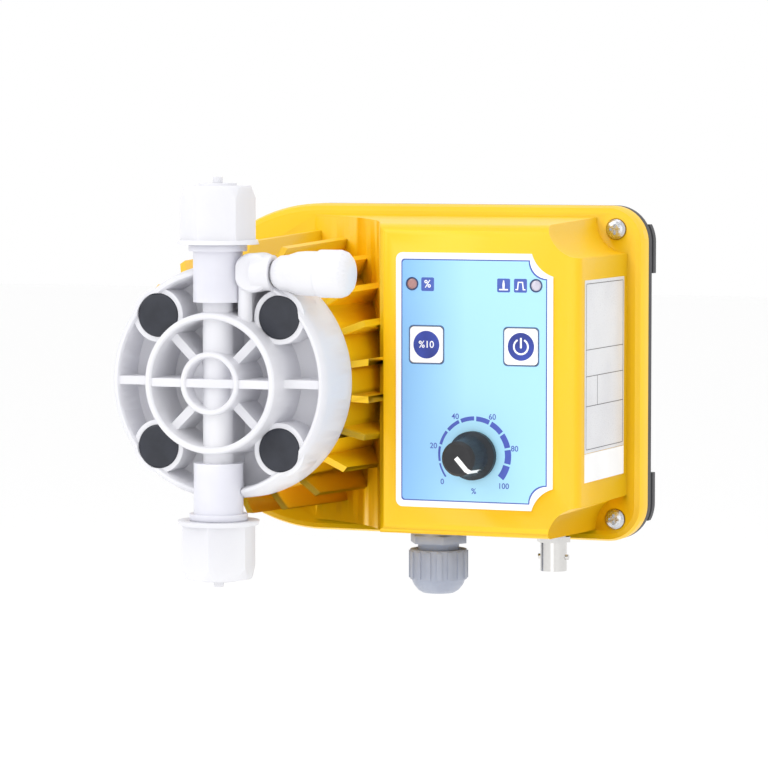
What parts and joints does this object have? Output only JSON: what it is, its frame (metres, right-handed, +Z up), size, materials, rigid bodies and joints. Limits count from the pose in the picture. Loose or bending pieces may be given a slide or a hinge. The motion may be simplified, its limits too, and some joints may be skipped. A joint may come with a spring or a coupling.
{
  "type": "solenoid metering pump",
  "caption": "Wall-mounted solenoid diaphragm metering pump: finned casing with a control panel, a pump head with check valves, a bleed valve, a cable gland and a signal socket.",
  "frame": {"origin": "middle of the wall face, on the plane of the back pads, at the casing's mid-width and mid-height", "axes": "+Z up, +X to the right seen from the front, -Y out of the wall towards the user"},
  "size_m": [0.1903, 0.1247, 0.1532],
  "materials": {
    "casing_yellow": "satin moulded polypropylene",
    "plate_grey": "matt moulded plastic",
    "seal_rubber": "matt",
    "gland_rubber": "matt",
    "stainless": "plain",
    "silver_foil": "satin foil",
    "white_foil": "matt foil",
    "panel_blue": "printed film",
    "key_white": "printed film",
    "percent_lens": "clear lens, unlit",
    "signal_lens": "clear lens, unlit",
    "board_green": "solder mask",
    "switch_black": "matt",
    "knob_black": "fine matt",
    "pointer_white": "inlay",
    "pot_metal": "plain",
    "shaft_steel": "plain",
    "yoke_steel": "zinc plated",
    "coil_resin": "wound copper under tape",
    "diaphragm_rubber": "fabric-backed",
    "head_white": "satin moulded polypropylene",
    "cap_black": "satin",
    "valve_clear": "milky translucent",
    "nut_white": "satin",
    "ball_white": "polished ceramic",
    "gland_grey": "satin moulded nylon",
    "nickel": "nickel plate",
    "ptfe_white": "plain",
    "contact_gold": "plated"
  },
  "bodies": {
    "casing": {"front_casing": "casing_yellow", "back_plate": "plate_grey", "wall_pads": "plate_grey", "casing_seal": "seal_rubber", "delivery_seal": "seal_rubber", "suction_seal": "seal_rubber", "delivery_seat": "seal_rubber", "suction_seat": "seal_rubber", "gland_bush": "gland_rubber", "casing_screws": "stainless", "board_screws": "stainless", "head_bolts": "stainless", "rating_label": "silver_foil", "serial_label": "white_foil", "panel_overlay": "panel_blue", "percent_lamp": "percent_lens", "signal_lamp": "signal_lens", "control_board": "board_green", "percent_switch": "switch_black", "power_switch": "switch_black", "rate_potentiometer": "pot_metal", "return_spring": "shaft_steel", "solenoid_core": "shaft_steel", "solenoid_yoke": "yoke_steel", "solenoid_coil": "coil_resin", "diaphragm": "diaphragm_rubber", "pump_head": "head_white", "bolt_caps": "cap_black", "delivery_valve_body": "valve_clear", "suction_valve_body": "valve_clear", "delivery_nut": "nut_white", "suction_nut": "nut_white", "delivery_nipple": "nut_white", "suction_nipple": "nut_white", "gland_body": "gland_grey", "gland_locknut": "gland_grey", "gland_cap": "gland_grey", "bnc_shell": "nickel", "bnc_nut": "nickel", "bnc_insulator": "ptfe_white", "bnc_contact": "contact_gold"},
    "rate_control": {"rate_knob": "knob_black", "knob_pointer": "pointer_white", "potentiometer_shaft": "shaft_steel"},
    "percent_button": {"percent_key": "key_white"},
    "power_button": {"power_key": "key_white"},
    "plunger": {"armature": "shaft_steel", "diaphragm_centre": "diaphragm_rubber"},
    "delivery_check_ball": {"delivery_ball": "ball_white"},
    "suction_check_ball": {"suction_ball": "ball_white"},
    "bleed_carriage": {"bleed_seal": "seal_rubber"},
    "bleed_handle": {"bleed_stem": "nut_white", "bleed_knob": "nut_white"}
  },
  "joints": [
    {"name": "rate_knob_turn", "type": "hinge", "parent": "casing", "child": "rate_control", "pos_m": [0.0497, -0.0706, -0.0267], "axis": [0, -1, 0], "range_deg": [0, 258]},
    {"name": "percent_key_press", "type": "slide", "parent": "casing", "child": "percent_button", "axis": [0, 1, 0], "range_m": [0, 0.0004], "stiffness_N_per_m": 1500, "springref_m": -0.0003},
    {"name": "power_key_press", "type": "slide", "parent": "casing", "child": "power_button", "axis": [0, 1, 0], "range_m": [0, 0.0004], "stiffness_N_per_m": 1500, "springref_m": -0.0003},
    {"name": "armature_stroke", "type": "slide", "parent": "casing", "child": "plunger", "axis": [0, -1, 0], "range_m": [0, 0.0012], "stiffness_N_per_m": 4000, "springref_m": -0.001},
    {"name": "delivery_ball_lift", "type": "slide", "parent": "casing", "child": "delivery_check_ball", "axis": [0, 0, 1], "range_m": [0, 0.0015]},
    {"name": "suction_ball_lift", "type": "slide", "parent": "casing", "child": "suction_check_ball", "axis": [0, 0, 1], "range_m": [0, 0.0015]},
    {"name": "bleed_travel", "type": "slide", "parent": "casing", "child": "bleed_carriage", "axis": [1, 0, 0], "range_m": [0, 0.000625]},
    {"name": "bleed_turn", "type": "hinge", "parent": "bleed_carriage", "child": "bleed_handle", "pos_m": [-0.011, -0.111, 0.0395], "axis": [1, 0, 0], "range_deg": [0, 180]}
  ],
  "couplings": [
    {"joint": "bleed_turn", "follows": "bleed_travel", "rad_per_m": 5026.5}
  ]
}
